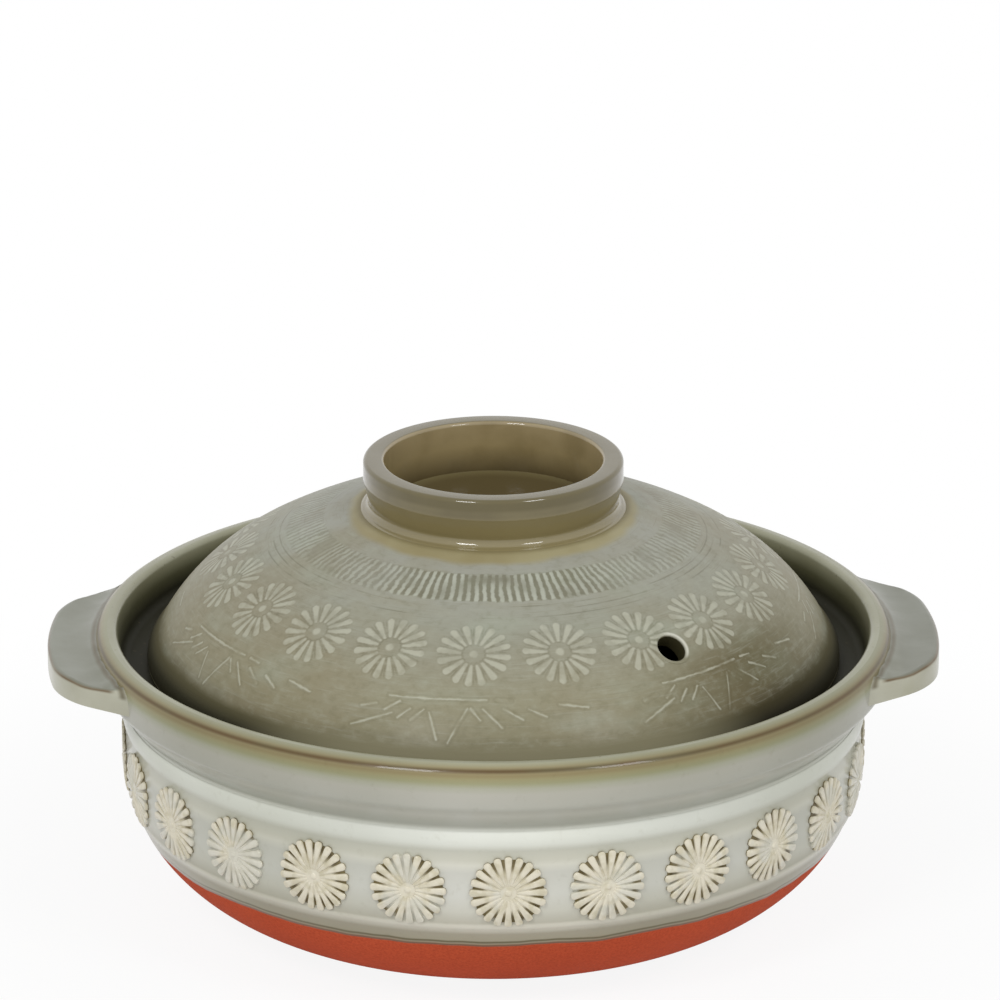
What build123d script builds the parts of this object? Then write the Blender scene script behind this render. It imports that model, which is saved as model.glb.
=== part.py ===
"""Donabe: a stoneware pot with two ear handles and a domed lid with a ring knob.

Millimetres, +Z up. The origin is the centre of the foot ring's resting plane, and +X runs through the ears.
Each profile is drawn on the XZ plane and turned about Z, as the real pieces are turned on a wheel.
"""

from build123d import *
from math import sqrt
import os

# Bowl, outside
foot_radius = 60.0  # outer edge of the flat resting ring
foot_ring_width = 11.0
foot_hollow = 1.2  # how far the underside is dished inside the ring
belly_radius = 116.9
belly_height = 48.0
band_height = 12.4  # straight wall between the belly and the bead
bead_height = 7.6
bead_swell = 0.9
waist_inset = 0.2  # the waist over the bead lies this much inside the belly
waist_round = 1.6
undercut_height = 9.4  # from the waist up to the collar's foot
collar_height = 13.8
collar_inset = 1.0  # the collar leans in this much towards its lower edge
collar_round = 3.0
rim_overhang = 9.1  # the rim stands out this far over the belly

# Bowl, rim and inside
rim_width = 7.0
rim_rise = 0.5  # the rim's top slopes up to its inner edge by this much
rim_outer_round = 4.0
rim_inner_round = 2.0
gallery_depth = 12.2  # from the rim's outer edge down to the ledge that carries the lid
gallery_taper = 1.5  # the gallery wall leans in this much towards the ledge
gallery_round = 2.8
ledge_width = 15.5
ledge_nose = 5.0
ledge_nose_round = 2.2
ledge_undercut = 10.0  # height of the cove under the ledge
wall = 7.0
floor_thickness = 6.3

# Ears
ear_overhang = 15.4  # from the rim out to the ear's outer edge
ear_thickness = 8.1
ear_drop = 4.0  # from the rim's outer edge down to the ear's upper face
ear_root_half_width = 48.4
ear_tip_half_width = 32.0
ear_corner_radius = 27.0
ear_top_round = 1.6
ear_bottom_round = 3.0

# Lid
channel_width = 8.0  # free gap between the lid's skirt and the gallery wall
seat_gap = 0.3  # the lid's running gap over the ledge
lid_wall = 6.5
skirt_height = 10.1
skirt_flare = 4.0
skirt_foot_height = 2.2  # upright foot under the rolled skirt
skirt_foot_round = 1.5
seat_width = 6.0
shoulder_width = 25.5  # from the dome's edge in to where its flat crown arc begins
shoulder_height = 25.1  # from the dome's edge up to there
crown_rise = 20.8  # from there up to where the crown arc would meet the axis
steam_hole_diameter = 9.3
steam_hole_round = 0.8
steam_hole_inset = 16.8  # from the dome's edge in to the hole's centre
steam_hole_azimuth = -54.1  # degrees from +X

# Knob
knob_radius = 40.9
knob_height = 15.6
knob_foot_flare = 1.6
knob_neck_inset = 1.9
knob_cove_height = 3.8  # from the dome up to where the neck runs straight
knob_lip_height = 4.5  # outer face of the lip, over its sloped underside
knob_belly_round = 2.0  # lower edge of the lip, over the neck
knob_lip_round = 2.8
knob_lip_width = 6.6  # across the top of the ring
knob_mouth_round = 1.2
knob_bore_taper = 1.0  # the ring's bore narrows this much towards its foot
recess_drop = 3.0  # the floor inside the ring lies this far under the ring's seam
recess_cove = 14.0  # width of the cove between the recess's floor and the seam under the ring

cut_overrun = 1.0


def corner(sketch, point):
    """Return the vertex of a sketch that lies nearest to a point of its plane."""
    return sketch.vertices().sort_by_distance(Vector(*point))[0]


# Places that both the bowl and its neighbours use
waist_radius = belly_radius - waist_inset
bead_foot_z = belly_height + band_height
waist_z = bead_foot_z + bead_height
collar_foot_z = waist_z + undercut_height
rim_radius = belly_radius + rim_overhang
rim_height = collar_foot_z + collar_height
collar_foot = (rim_radius - collar_inset, collar_foot_z)
rim_inner_radius = rim_radius - rim_width
gallery_radius = rim_inner_radius - gallery_taper
ledge_z = rim_height - gallery_depth
nose_radius = gallery_radius - ledge_width
inner_belly_radius = belly_radius - wall
floor_z = foot_hollow + floor_thickness
cove_z = ledge_z - ledge_nose - ledge_undercut

with BuildPart() as pot_bowl:
    with BuildSketch(Plane.XZ) as bowl_profile:
        with BuildLine():
            ring_inner = (foot_radius - foot_ring_width, 0)
            TangentArc((0, foot_hollow), ring_inner, tangent=(1, 0))
            Line(ring_inner, (foot_radius, 0))
            EllipticalCenterArc(
                (foot_radius, belly_height),
                belly_radius - foot_radius,
                belly_height,
                start_angle=270,
                arc_size=90,
            )
            Line((belly_radius, belly_height), (belly_radius, bead_foot_z))
            ThreePointArc(
                (belly_radius, bead_foot_z),
                (belly_radius + bead_swell, bead_foot_z + bead_height / 2),
                (waist_radius, waist_z),
            )
            Polyline(
                (waist_radius, waist_z),
                collar_foot,
                (rim_radius, rim_height),
                (rim_inner_radius, rim_height + rim_rise),
                (gallery_radius, ledge_z),
                (nose_radius, ledge_z),
                (nose_radius, ledge_z - ledge_nose),
            )
            TangentArc(
                (inner_belly_radius, cove_z),
                (nose_radius, ledge_z - ledge_nose),
                tangent=(0, 1),
            )
            Line((inner_belly_radius, cove_z), (inner_belly_radius, belly_height))
            EllipticalCenterArc(
                (foot_radius, belly_height),
                inner_belly_radius - foot_radius,
                belly_height - floor_z,
                start_angle=0,
                arc_size=-90,
            )
            Polyline((foot_radius, floor_z), (0, floor_z), (0, foot_hollow))
        make_face()
        fillet(corner(bowl_profile, (waist_radius, waist_z)), waist_round)
        fillet(corner(bowl_profile, collar_foot), collar_round)
        fillet(corner(bowl_profile, (rim_radius, rim_height)), rim_outer_round)
        fillet(corner(bowl_profile, (rim_inner_radius, rim_height + rim_rise)), rim_inner_round)
        fillet(corner(bowl_profile, (gallery_radius, ledge_z)), gallery_round)
        fillet(corner(bowl_profile, (nose_radius, ledge_z)), ledge_nose_round)
    revolve(axis=Axis.Z)
pot_bowl.part.label = "pot_bowl"

# The ear's blank ends inside the collar's wall, and the bowl's own surface trims it to the seam
ear_reach = rim_radius + ear_overhang
ear_root_radius = (gallery_radius + rim_radius) / 2 - rim_outer_round / 2
ears = []
for ear_name, side in (("ear_handle_left", -1), ("ear_handle_right", 1)):
    with BuildPart() as ear:
        with BuildSketch(Plane.XY.offset(rim_height - ear_drop)) as ear_outline:
            root_x = side * gallery_radius
            tip_x = side * ear_reach
            Polygon(
                (root_x, -ear_root_half_width),
                (tip_x, -ear_tip_half_width),
                (tip_x, ear_tip_half_width),
                (root_x, ear_root_half_width),
                align=None,
            )
            Circle(ear_reach, mode=Mode.INTERSECT)
            tips = ear_outline.vertices().sort_by_distance((tip_x, 0))[0:2]
            fillet(tips, ear_corner_radius)
        extrude(amount=-ear_thickness)
        for face_index, edge_round in ((0, ear_bottom_round), (-1, ear_top_round)):
            flat_face = ear.faces().filter_by(Axis.Z).sort_by(Axis.Z)[face_index]
            free_edges = flat_face.edges().sort_by(lambda edge: abs(edge.center().X))[1:]
            fillet(free_edges, edge_round)
        with BuildSketch(Plane.XY.offset(rim_height - ear_drop)):
            Circle(ear_root_radius)
        extrude(amount=-ear_thickness, mode=Mode.SUBTRACT)
        add(pot_bowl.part, mode=Mode.SUBTRACT)
    ear.part.label = ear_name
    ears.append(ear.part)

# The dome's section is a flat crown arc centred on the axis and a shoulder arc tangent to it
lid_radius = gallery_radius - channel_width
lid_foot_z = ledge_z + seat_gap
dome_edge = Vector(lid_radius - skirt_flare, lid_foot_z + skirt_height)
dome_join = Vector(dome_edge.X - shoulder_width, dome_edge.Y + shoulder_height)
crown_radius = (dome_join.X**2 + crown_rise**2) / (2 * crown_rise)
crown_centre = Vector(0, dome_join.Y + crown_rise - crown_radius)
crown_inner_radius = crown_radius - lid_wall


def arc_height(centre, radius, distance):
    """Return the height, at a distance from the axis, of an arc about a centre."""
    return centre.Y + sqrt(radius**2 - (distance - centre.X) ** 2)


join_normal = (dome_join - crown_centre).normalized()
shoulder_chord = dome_edge - dome_join
shoulder_radius = -(shoulder_chord.length**2) / (2 * shoulder_chord.dot(join_normal))
shoulder_centre = dome_join - join_normal * shoulder_radius
shoulder_inner_radius = shoulder_radius - lid_wall
inner_join = dome_join - join_normal * lid_wall

knob_foot_radius = knob_radius + knob_foot_flare
land_z = arc_height(crown_centre, crown_radius, knob_foot_radius)
knob_top_z = land_z + knob_height
recess_z = land_z - recess_drop
knob_mouth_radius = knob_radius - knob_lip_width
recess_radius = knob_mouth_radius - knob_bore_taper
crown_z = recess_z - lid_wall
crown_flat_radius = sqrt(crown_inner_radius**2 - (crown_z - crown_centre.Y) ** 2)
seat_inner_radius = lid_radius - seat_width
inner_edge_radius = seat_inner_radius - skirt_flare / 2
inner_edge_z = arc_height(shoulder_centre, shoulder_inner_radius, inner_edge_radius)

with BuildPart() as lid_dome:
    with BuildSketch(Plane.XZ) as lid_profile:
        with BuildLine():
            cove_start = (recess_radius - recess_cove, recess_z)
            Polyline((0, crown_z), (0, recess_z), cove_start)
            TangentArc(cove_start, (recess_radius, land_z), tangent=(1, 0))
            Line((recess_radius, land_z), (knob_foot_radius, land_z))
            RadiusArc((knob_foot_radius, land_z), dome_join, crown_radius)
            shoulder_arc = RadiusArc(dome_join, dome_edge, shoulder_radius)
            skirt_foot = (lid_radius, lid_foot_z + skirt_foot_height)
            TangentArc(dome_edge, skirt_foot, tangent=shoulder_arc % 1)
            Polyline(
                skirt_foot,
                (lid_radius, lid_foot_z),
                (seat_inner_radius, lid_foot_z),
                (inner_edge_radius, inner_edge_z),
            )
            RadiusArc((inner_edge_radius, inner_edge_z), inner_join, -shoulder_inner_radius)
            RadiusArc(inner_join, (crown_flat_radius, crown_z), -crown_inner_radius)
            Line((crown_flat_radius, crown_z), (0, crown_z))
        make_face()
        fillet(corner(lid_profile, (lid_radius, lid_foot_z)), skirt_foot_round)
    revolve(axis=Axis.Z)
    hole_ring_radius = dome_edge.X - steam_hole_inset
    hole_height = arc_height(shoulder_centre, shoulder_radius, hole_ring_radius)
    hole_mouth = Vector(hole_ring_radius, 0, hole_height)
    hole_axis = (hole_mouth - Vector(shoulder_centre.X, 0, shoulder_centre.Y)).normalized()
    hole_start = (hole_mouth + hole_axis * cut_overrun).rotate(Axis.Z, steam_hole_azimuth)
    hole_axis = hole_axis.rotate(Axis.Z, steam_hole_azimuth)
    with BuildSketch(Plane(origin=hole_start, z_dir=hole_axis)):
        Circle(steam_hole_diameter / 2)
    extrude(amount=-(lid_wall + 2 * cut_overrun), mode=Mode.SUBTRACT)
    hole_mouths = lid_dome.edges(Select.LAST).filter_by(GeomType.LINE, reverse=True)
    fillet(hole_mouths, steam_hole_round)
lid_dome.part.label = "lid_dome"

with BuildPart() as lid_knob_ring:
    neck_radius = knob_radius - knob_neck_inset
    neck_foot_z = land_z + knob_cove_height
    lip_foot_z = knob_top_z - knob_lip_height
    with BuildSketch(Plane.XZ) as knob_profile:
        with BuildLine():
            Line((recess_radius, land_z), (knob_foot_radius, land_z))
            TangentArc((neck_radius, neck_foot_z), (knob_foot_radius, land_z), tangent=(0, -1))
            Polyline(
                (neck_radius, neck_foot_z),
                (neck_radius, lip_foot_z - knob_neck_inset),
                (knob_radius, lip_foot_z),
                (knob_radius, knob_top_z),
                (knob_mouth_radius, knob_top_z),
                (recess_radius, land_z),
            )
        make_face()
        fillet(corner(knob_profile, (knob_radius, lip_foot_z)), knob_belly_round)
        fillet(corner(knob_profile, (knob_radius, knob_top_z)), knob_lip_round)
        fillet(corner(knob_profile, (knob_mouth_radius, knob_top_z)), knob_mouth_round)
    revolve(axis=Axis.Z)
lid_knob_ring.part.label = "lid_knob_ring"

os.makedirs("parts", exist_ok=True)
for piece in [pot_bowl.part, *ears, lid_dome.part, lid_knob_ring.part]:
    export_step(piece, f"parts/{piece.label}.step")
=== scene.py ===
"""Looks of a stoneware donabe: a glazed pot with two ears and a stamped band, and a lid with a ring knob.

Sizes are in millimetres in the classes below, and go to Blender's metres when a mesh is made.
The origin is the centre of the resting plane, +Z is up and +X runs through the ears.
"""

import logging
from dataclasses import dataclass, field
from enum import Enum
from math import asin, atan2, cos, hypot, pi, radians, sin, sqrt, tau
from typing import Callable, Iterable

import bpy
from mathutils import Euler, Matrix, Vector


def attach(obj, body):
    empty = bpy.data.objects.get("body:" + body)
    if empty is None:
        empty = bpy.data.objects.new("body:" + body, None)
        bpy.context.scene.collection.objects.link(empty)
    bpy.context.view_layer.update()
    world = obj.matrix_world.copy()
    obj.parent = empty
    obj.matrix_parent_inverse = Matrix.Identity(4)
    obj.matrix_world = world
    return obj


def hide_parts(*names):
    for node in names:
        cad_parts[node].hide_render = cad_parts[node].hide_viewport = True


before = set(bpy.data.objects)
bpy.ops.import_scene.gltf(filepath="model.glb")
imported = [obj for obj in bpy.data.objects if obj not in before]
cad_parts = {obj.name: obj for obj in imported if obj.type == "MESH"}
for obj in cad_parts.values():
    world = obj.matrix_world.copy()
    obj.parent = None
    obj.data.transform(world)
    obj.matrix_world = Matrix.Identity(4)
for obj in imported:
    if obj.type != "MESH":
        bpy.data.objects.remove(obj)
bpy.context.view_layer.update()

MM = 0.001
MERGE_GAP = 0.002 * MM
GLAZE_IOR = 1.45
log = logging.getLogger("donabe")

Point = tuple[float, float]
Stop = tuple[float, float, float, float]
Colour = tuple[float, float, float, float]


def srgb(red: float, green: float, blue: float) -> Colour:
    """Turn a colour as a screen shows it into the linear colour that a shader takes.

    Args:
        red: Red, 0 to 255.
        green: Green.
        blue: Blue.

    Returns:
        The colour, with an alpha of 1.
    """
    return tuple(
        (c / 255 / 12.92 if c / 255 <= 0.04045 else ((c / 255 + 0.055) / 1.055) ** 2.4)
        for c in (red, green, blue)
    ) + (1.0,)


# Templates and sums


def arc_points(centre: Point, radii: Point, start: float, end: float, steps: int) -> list[Point]:
    """Points along an arc of a circle or an ellipse.

    Args:
        centre: Centre of the arc.
        radii: Its half axes along the radius and the height.
        start: Angle of the first point in degrees.
        end: Angle of the last point in degrees.
        steps: Number of chords.

    Returns:
        The points, both ends included.
    """
    turns = [radians(start + (end - start) * i / steps) for i in range(steps + 1)]
    return [(centre[0] + radii[0] * cos(t), centre[1] + radii[1] * sin(t)) for t in turns]


def rounded(corners: list[tuple[float, float, float]], steps: int = 6) -> list[Point]:
    """Round the corners of an open line.

    Args:
        corners: Each corner's two coordinates and its rounding radius; both ends stay sharp.
        steps: Chords in each rounding.

    Returns:
        The points of the rounded line.
    """
    made: list[Point] = []
    for i, (x, y, radius) in enumerate(corners):
        if radius <= 0 or i in (0, len(corners) - 1):
            made.append((x, y))
            continue
        here = Vector((x, y))
        back = (Vector(corners[i - 1][:2]) - here).normalized()
        ahead = (Vector(corners[i + 1][:2]) - here).normalized()
        half = back.angle(ahead) / 2
        reach = radius * cos(half) / sin(half)
        centre = here + (back + ahead).normalized() * (radius / sin(half))
        first, last = here + back * reach - centre, here + ahead * reach - centre
        turn = atan2(first.x * last.y - first.y * last.x, first.dot(last))
        for k in range(steps + 1):
            spoke = Matrix.Rotation(turn * k / steps, 2) @ first
            made.append(tuple(centre + spoke))
    return made


def joined(*runs: list[Point]) -> list[Point]:
    """Chain runs of points into one line and leave out points that repeat.

    Args:
        runs: The runs in order.

    Returns:
        The line's points.
    """
    line: list[Point] = []
    for point in (p for run in runs for p in run):
        if not line or hypot(point[0] - line[-1][0], point[1] - line[-1][1]) > 1e-4:
            line.append(point)
    return line


@dataclass(frozen=True)
class Dome:
    """The lid's section: a flat crown arc about the axis and a shoulder arc tangent to it."""

    join: Point = (80.0, 114.5)
    edge: Point = (105.5, 89.4)
    crown_rise: float = 20.8
    wall: float = 6.5

    @property
    def crown_radius(self) -> float:
        """Radius of the crown arc."""
        return (self.join[0] ** 2 + self.crown_rise**2) / (2 * self.crown_rise)

    @property
    def crown_z(self) -> float:
        """Height of the crown arc's centre, which lies on the axis."""
        return self.join[1] + self.crown_rise - self.crown_radius

    @property
    def join_turn(self) -> float:
        """Angle of the join's normal from the axis, in radians."""
        return asin(self.join[0] / self.crown_radius)

    @property
    def shoulder_radius(self) -> float:
        """Radius of the shoulder arc.

        Returns:
            The radius in millimetres.
        """
        chord = (self.edge[0] - self.join[0], self.edge[1] - self.join[1])
        slope = chord[0] * sin(self.join_turn) + chord[1] * cos(self.join_turn)
        return -(chord[0] ** 2 + chord[1] ** 2) / (2 * slope)

    @property
    def shoulder_centre(self) -> Point:
        """Centre of the shoulder arc."""
        radius, turn = self.shoulder_radius, self.join_turn
        return (self.join[0] - radius * sin(turn), self.join[1] - radius * cos(turn))

    def height(self, radius: float, depth: float = 0.0) -> float:
        """Height of the surface, or of one a depth under it, at a distance from the axis.

        Args:
            radius: Distance from the axis.
            depth: Depth under the surface.

        Returns:
            The height.
        """
        crown = self.crown_radius - depth
        if radius < crown * sin(self.join_turn):
            return self.crown_z + sqrt(crown**2 - radius**2)
        centre = self.shoulder_centre
        return centre[1] + sqrt((self.shoulder_radius - depth) ** 2 - (radius - centre[0]) ** 2)

    def along(self, radius: float) -> float:
        """Length along the surface from its pole to a distance from the axis.

        Args:
            radius: Distance from the axis.

        Returns:
            The length in millimetres.
        """
        if radius < self.join[0]:
            return self.crown_radius * asin(radius / self.crown_radius)
        turn = asin((radius - self.shoulder_centre[0]) / self.shoulder_radius)
        return self.crown_radius * self.join_turn + self.shoulder_radius * (turn - self.join_turn)

    def outward(self, radius: float) -> Point:
        """The shoulder's normal at a distance from the axis.

        Args:
            radius: Distance from the axis.

        Returns:
            The normal's parts outwards and up.
        """
        centre = self.shoulder_centre
        run = Vector((radius - centre[0], self.height(radius) - centre[1])).normalized()
        return (run.x, run.y)


@dataclass(frozen=True)
class SteamHole:
    """The steam hole's place on the dome and its size."""

    dome: Dome
    ring: float = 88.7
    turn: float = 35.9
    radius: float = 4.65
    lip: float = 1.0

    @property
    def mouth(self) -> float:
        """Radius of the bore in the dome, which the glazed lip fills."""
        return self.radius + self.lip

    @property
    def axis(self) -> Vector:
        """The dome's outward normal at the hole.

        Returns:
            The unit normal.
        """
        turn = radians(self.turn)
        aside, up = self.dome.outward(self.ring)
        return Vector((aside * sin(turn), -aside * cos(turn), up))

    @property
    def centre(self) -> Vector:
        """The hole's middle on the dome, in millimetres."""
        turn = radians(self.turn)
        return Vector((self.ring * sin(turn), -self.ring * cos(turn), self.dome.height(self.ring)))


# The bench


class Bench:
    """The modelling steps that the pieces share."""

    @staticmethod
    def clear() -> None:
        """Leave edit mode and select nothing."""
        if bpy.context.object and bpy.context.object.mode != "OBJECT":
            bpy.ops.object.mode_set(mode="OBJECT")
        bpy.ops.object.select_all(action="DESELECT")

    @staticmethod
    def take(piece: bpy.types.Object) -> None:
        """Select one piece alone and make it active.

        Args:
            piece: The piece.
        """
        Bench.clear()
        piece.select_set(True)
        bpy.context.view_layer.objects.active = piece

    @staticmethod
    def edit(select: str = "SELECT") -> None:
        """Enter edit mode on the active piece with all of it selected or not.

        Args:
            select: SELECT or DESELECT.
        """
        bpy.ops.object.mode_set(mode="EDIT")
        bpy.ops.mesh.select_mode(type="VERT")
        bpy.ops.mesh.select_all(action=select)

    @staticmethod
    def settle() -> None:
        """Move the active piece's place, turn and scale into its mesh."""
        bpy.ops.object.transform_apply(location=True, rotation=True, scale=True)

    @staticmethod
    def drawn(name: str, points: list[tuple[float, float, float]]) -> bpy.types.Object:
        """Draw a line of edges by pulling one vertex from point to point.

        Args:
            name: Name of the new piece.
            points: Points in millimetres.

        Returns:
            The piece, in edit mode, with its last vertex selected.
        """
        Bench.clear()
        start = Vector(points[0]) * MM
        bpy.ops.mesh.primitive_plane_add(size=MM, location=start)
        piece = bpy.context.object
        piece.name = piece.data.name = name
        Bench.settle()
        Bench.edit()
        bpy.ops.mesh.merge(type="CENTER")
        for before, after in zip(points, points[1:]):
            step = (Vector(after) - Vector(before)) * MM
            bpy.ops.mesh.extrude_region_move(TRANSFORM_OT_translate={"value": step})
        return piece

    @staticmethod
    def turned(name: str, template: list[Point], segments: int) -> bpy.types.Object:
        """Turn a template about the Z axis as on a wheel.

        Args:
            name: Name of the new piece.
            template: Radius and height of each point, in millimetres.
            segments: Steps of the full turn.

        Returns:
            The closed, smooth piece.
        """
        piece = Bench.drawn(name, [(radius, 0, height) for radius, height in template])
        bpy.ops.mesh.select_all(action="SELECT")
        bpy.ops.mesh.spin(steps=segments, angle=tau, center=(0, 0, 0), axis=(0, 0, 1))
        Bench.sound()
        return piece

    @staticmethod
    def sound() -> None:
        """Merge doubles, turn the faces outwards and go back to object mode."""
        bpy.ops.mesh.select_all(action="SELECT")
        bpy.ops.mesh.remove_doubles(threshold=MERGE_GAP)
        bpy.ops.mesh.normals_make_consistent(inside=False)
        bpy.ops.object.mode_set(mode="OBJECT")
        bpy.ops.object.shade_smooth_by_angle(angle=radians(50))

    @staticmethod
    def choose(piece: bpy.types.Object, kind: str, test: Callable[[bpy.types.bpy_struct], bool]) -> None:
        """Select parts of a piece's mesh and enter edit mode.

        Args:
            piece: The piece to select on.
            kind: VERT, EDGE or FACE.
            test: Takes a vertex, an edge or a face of the mesh.
        """
        Bench.take(piece)
        Bench.edit("DESELECT")
        bpy.ops.mesh.select_mode(type=kind)
        bpy.ops.object.mode_set(mode="OBJECT")
        mesh = piece.data
        for part in {"VERT": mesh.vertices, "EDGE": mesh.edges, "FACE": mesh.polygons}[kind]:
            part.select = test(part)
        bpy.ops.object.mode_set(mode="EDIT")

    @staticmethod
    def pick(piece: bpy.types.Object, test: Callable[[Vector, Vector], bool]) -> None:
        """Select the faces of a piece by their centre in millimetres and their normal."""
        Bench.choose(piece, "FACE", lambda face: test(face.center / MM, face.normal))

    @staticmethod
    def pick_edges(piece: bpy.types.Object, test: Callable[[Vector, Vector], bool]) -> None:
        """Select the edges of a piece by the places of their ends, in millimetres."""
        points = piece.data.vertices
        Bench.choose(piece, "EDGE", lambda edge: test(*(points[i].co / MM for i in edge.vertices)))

    @staticmethod
    def apply(piece: bpy.types.Object, kind: str, **settings: object) -> None:
        """Add a modifier with its settings and apply it.

        Args:
            piece: The piece.
            kind: The modifier's type.
            settings: Its settings by name.
        """
        Bench.take(piece)
        modifier = piece.modifiers.new(kind.title(), kind)
        for key, value in settings.items():
            setattr(modifier, key, value)
        bpy.ops.object.modifier_apply(modifier=modifier.name)

    @staticmethod
    def copy(piece: bpy.types.Object, name: str) -> bpy.types.Object:
        """Copy a piece with its own mesh.

        Args:
            piece: The piece.
            name: Name of the copy.

        Returns:
            The copy.
        """
        Bench.take(piece)
        bpy.ops.object.duplicate(linked=False)
        twin = bpy.context.object
        twin.name = twin.data.name = name
        return twin

    @staticmethod
    def turn(piece: bpy.types.Object, about_y: float, about_z: float) -> None:
        """Turn a piece about the origin by two angles in degrees, in its mesh.

        Args:
            piece: The piece.
            about_y: Turn about Y.
            about_z: Turn about Z, after it.
        """
        Bench.take(piece)
        piece.rotation_euler = Euler((0, radians(about_y), radians(about_z)))
        Bench.settle()

    @staticmethod
    def dress(piece: bpy.types.Object, material: bpy.types.Material, body: str, slot: str) -> None:
        """Give a piece its finish and its body.

        Args:
            piece: The piece.
            material: Its finish.
            body: The body that it rides on.
            slot: Not used.
        """
        piece.data.materials.clear()
        piece.data.materials.append(material)
        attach(piece, body)
        log.info("%s: %d faces on %s", piece.name, len(piece.data.polygons), body)


# Shader sums


def lifted(operation: str, swapped: bool = False) -> Callable[..., "Field"]:
    """Make a Field method from a Math node's operation.

    Args:
        operation: The node's operation.
        swapped: Whether the field comes after the other value, as a reflected operator needs.

    Returns:
        The method, which takes the other values of the operation.
    """

    def method(self: "Field", *others: "Field | float") -> "Field":
        """Feed this value and others to the node."""
        return self.paint.math(operation, *((*others, self) if swapped else (self, *others)))

    return method


class Field:
    """A shader value that takes part in Python sums."""

    __add__ = __radd__ = lifted("ADD")
    __sub__, __rsub__ = lifted("SUBTRACT"), lifted("SUBTRACT", swapped=True)
    __mul__ = __rmul__ = lifted("MULTIPLY")
    __truediv__, __rtruediv__ = lifted("DIVIDE"), lifted("DIVIDE", swapped=True)
    __abs__, root, cosine, sine = lifted("ABSOLUTE"), lifted("SQRT"), lifted("COSINE"), lifted("SINE")
    least, most, wrap = lifted("MINIMUM"), lifted("MAXIMUM"), lifted("WRAP")

    def __init__(self, paint: "Shading", socket: bpy.types.NodeSocket) -> None:
        """Wrap an output socket of a tree."""
        self.paint = paint
        self.socket = socket

    def __neg__(self) -> "Field":
        """Turn the sign."""
        return self * -1.0

    def between(self, low: float, high: float) -> "Field":
        """Held between two numbers."""
        return self.most(low).least(high)

    def folded(self) -> "Field":
        """Distance from the nearest whole number, with its sign."""
        return self.wrap(0.5, -0.5)

    def step(self, low: float, high: float) -> "Field":
        """Rise smoothly from 0 at low to 1 at high; high may be the smaller one."""
        return self.paint.step(self, low, high)

    def near(self, place: float, reach: float) -> "Field":
        """1 at a place, falling smoothly to 0 at a distance from it."""
        return abs(self - place).step(reach, 0.0)


Value = Field | float


class Shading:
    """A shader tree under construction."""

    def __init__(self, tree: bpy.types.NodeTree) -> None:
        """Work on a material's or the world's tree."""
        self.tree = tree

    def plug(self, socket: bpy.types.NodeSocket, value: object) -> None:
        """Link a field, a colour in layers or an output to an input, or set the input's own value.

        Args:
            socket: The input.
            value: What it gets.
        """
        source = value.socket if isinstance(value, (Field, Layers)) else value
        if isinstance(source, bpy.types.NodeSocket):
            self.tree.links.new(source, socket)
        else:
            socket.default_value = source

    def node(self, kind: str, settings: dict | None = None, inputs: dict | None = None) -> bpy.types.Node:
        """Add a node.

        Args:
            kind: The node's type.
            settings: Its own settings, set first; stops are a ramp's places and colours.
            inputs: Values or links of its sockets, by name or index.

        Returns:
            The node.
        """
        made = self.tree.nodes.new(kind)
        for key, value in (settings or {}).items():
            if key == "stops":
                ramp = made.color_ramp
                while len(ramp.elements) < len(value):
                    ramp.elements.new(0.5)
                for element, (place, colour) in zip(ramp.elements, value):
                    element.position = place
                    element.color = colour
            else:
                setattr(made, key, value)
        for key, value in (inputs or {}).items():
            self.plug(made.inputs[key], value)
        return made

    def math(self, operation: str, *values: Value) -> Field:
        """Add a Math node on up to three values."""
        made = self.node("ShaderNodeMath", {"operation": operation}, dict(enumerate(values)))
        return Field(self, made.outputs[0])

    def step(self, value: Field, low: float, high: float) -> Field:
        """Rise smoothly from 0 at low to 1 at high.

        Args:
            value: The value.
            low: Where it is 0.
            high: Where it is 1.

        Returns:
            The share from 0 to 1.
        """
        first, last = (0.0, 1.0) if low < high else (1.0, 0.0)
        inputs = {"Value": value, "From Min": min(low, high), "From Max": max(low, high)}
        inputs |= {"To Min": first, "To Max": last}
        made = self.node("ShaderNodeMapRange", {"interpolation_type": "SMOOTHSTEP"}, inputs)
        return Field(self, made.outputs["Result"])

    def seen(self) -> Field:
        """1 on rays from the camera, in reflections and through glass, and 0 on the rays that light the pot.

        Returns:
            The share.
        """
        rays = self.node("ShaderNodeLightPath").outputs
        names = ("Is Camera Ray", "Is Glossy Ray", "Is Transmission Ray")
        camera, glossy, through = (Field(self, rays[name]) for name in names)
        return camera.most(glossy).most(through)


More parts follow.
